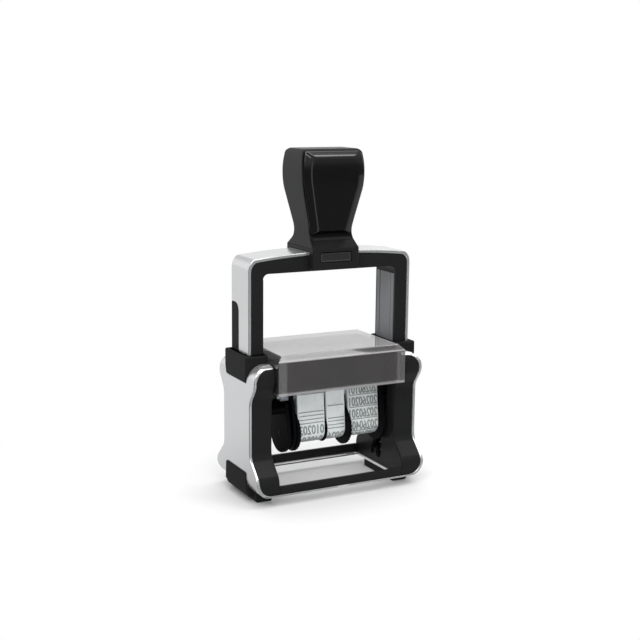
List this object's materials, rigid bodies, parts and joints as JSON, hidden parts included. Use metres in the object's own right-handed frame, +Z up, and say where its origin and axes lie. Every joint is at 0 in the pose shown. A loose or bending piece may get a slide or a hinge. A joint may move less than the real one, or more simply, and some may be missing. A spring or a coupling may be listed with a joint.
{
  "type": "date stamp",
  "caption": "Self-inking desk date stamp: sprung bow with grip over a waisted base, turning carriage of dating bands, clear-covered ink cartridge.",
  "frame": {"origin": "middle of the footprint, on the desk", "axes": "+Z up, -Y towards the front with the cover's label, +X right seen from the front"},
  "size_m": [0.083, 0.0436, 0.1495],
  "materials": {
    "silver_shell": "satin silver",
    "black_plastic": "satin",
    "gloss_black": "polished",
    "grip_matte": "fine matte",
    "foot_rubber": "matte",
    "spring_steel": "bright",
    "bridge_chrome": "polished",
    "band_rubber": "smooth pale rubber",
    "smoke_clear": "smoke clear",
    "label_grey": "matte",
    "pad_felt": "inked felt"
  },
  "bodies": {
    "base": {"base_shell": "silver_shell", "side_frame_left": "black_plastic", "side_frame_right": "black_plastic", "front_sill": "black_plastic", "rear_sill": "black_plastic", "collar_left": "black_plastic", "collar_right": "black_plastic", "side_foot_left": "foot_rubber", "side_foot_right": "foot_rubber", "return_spring_left": "spring_steel", "return_spring_right": "spring_steel"},
    "bow": {"bow_shell": "silver_shell", "bow_frame": "black_plastic", "leg_insert_left": "black_plastic", "leg_insert_right": "black_plastic", "saddle": "black_plastic", "grip_core": "grip_matte", "grip_front_panel": "gloss_black", "grip_rear_panel": "gloss_black", "pivot_pin_left": "spring_steel", "pivot_pin_right": "spring_steel"},
    "carriage": {"cheek_left": "black_plastic", "cheek_right": "black_plastic", "bridge": "bridge_chrome", "wheel_axle": "spring_steel", "band_left": "band_rubber", "band_middle": "band_rubber", "band_right": "band_rubber", "cam_pin_left": "spring_steel", "cam_pin_right": "spring_steel"},
    "left_wheel": {"wheel_left": "black_plastic"},
    "middle_wheel": {"wheel_middle": "black_plastic"},
    "right_wheel": {"wheel_right": "black_plastic"},
    "lock": {"lock_button": "gloss_black"},
    "cartridge": {"pad_cover": "smoke_clear", "label_card": "label_grey", "ink_tray": "black_plastic", "ink_pad": "pad_felt"}
  },
  "joints": [
    {"name": "press", "type": "slide", "parent": "base", "child": "bow", "axis": [0, 0, -1], "range_m": [0, 0.0278], "stiffness_N_per_m": 300, "springref_m": -0.02, "deforming": ["return_spring_left", "return_spring_right"]},
    {"name": "turn", "type": "hinge", "parent": "bow", "child": "carriage", "pos_m": [0, 0, 0.0377], "axis": [1, 0, 0], "range_deg": [0, 180]},
    {"name": "left_wheel_spin", "type": "hinge", "parent": "carriage", "child": "left_wheel", "pos_m": [-0.0075, 0, 0.026], "axis": [1, 0, 0], "continuous": true},
    {"name": "middle_wheel_spin", "type": "hinge", "parent": "carriage", "child": "middle_wheel", "pos_m": [0.005, 0, 0.026], "axis": [1, 0, 0], "continuous": true},
    {"name": "right_wheel_spin", "type": "hinge", "parent": "carriage", "child": "right_wheel", "pos_m": [0.0185, 0, 0.026], "axis": [1, 0, 0], "continuous": true},
    {"name": "lock_push", "type": "slide", "parent": "bow", "child": "lock", "axis": [0, 1, 0], "range_m": [0, 0.002]},
    {"name": "cartridge_pull", "type": "slide", "parent": "base", "child": "cartridge", "axis": [0, -1, 0], "range_m": [0, 0.045]}
  ],
  "couplings": [
    {"joint": "turn", "follows": "press", "rad_per_m": 113}
  ]
}
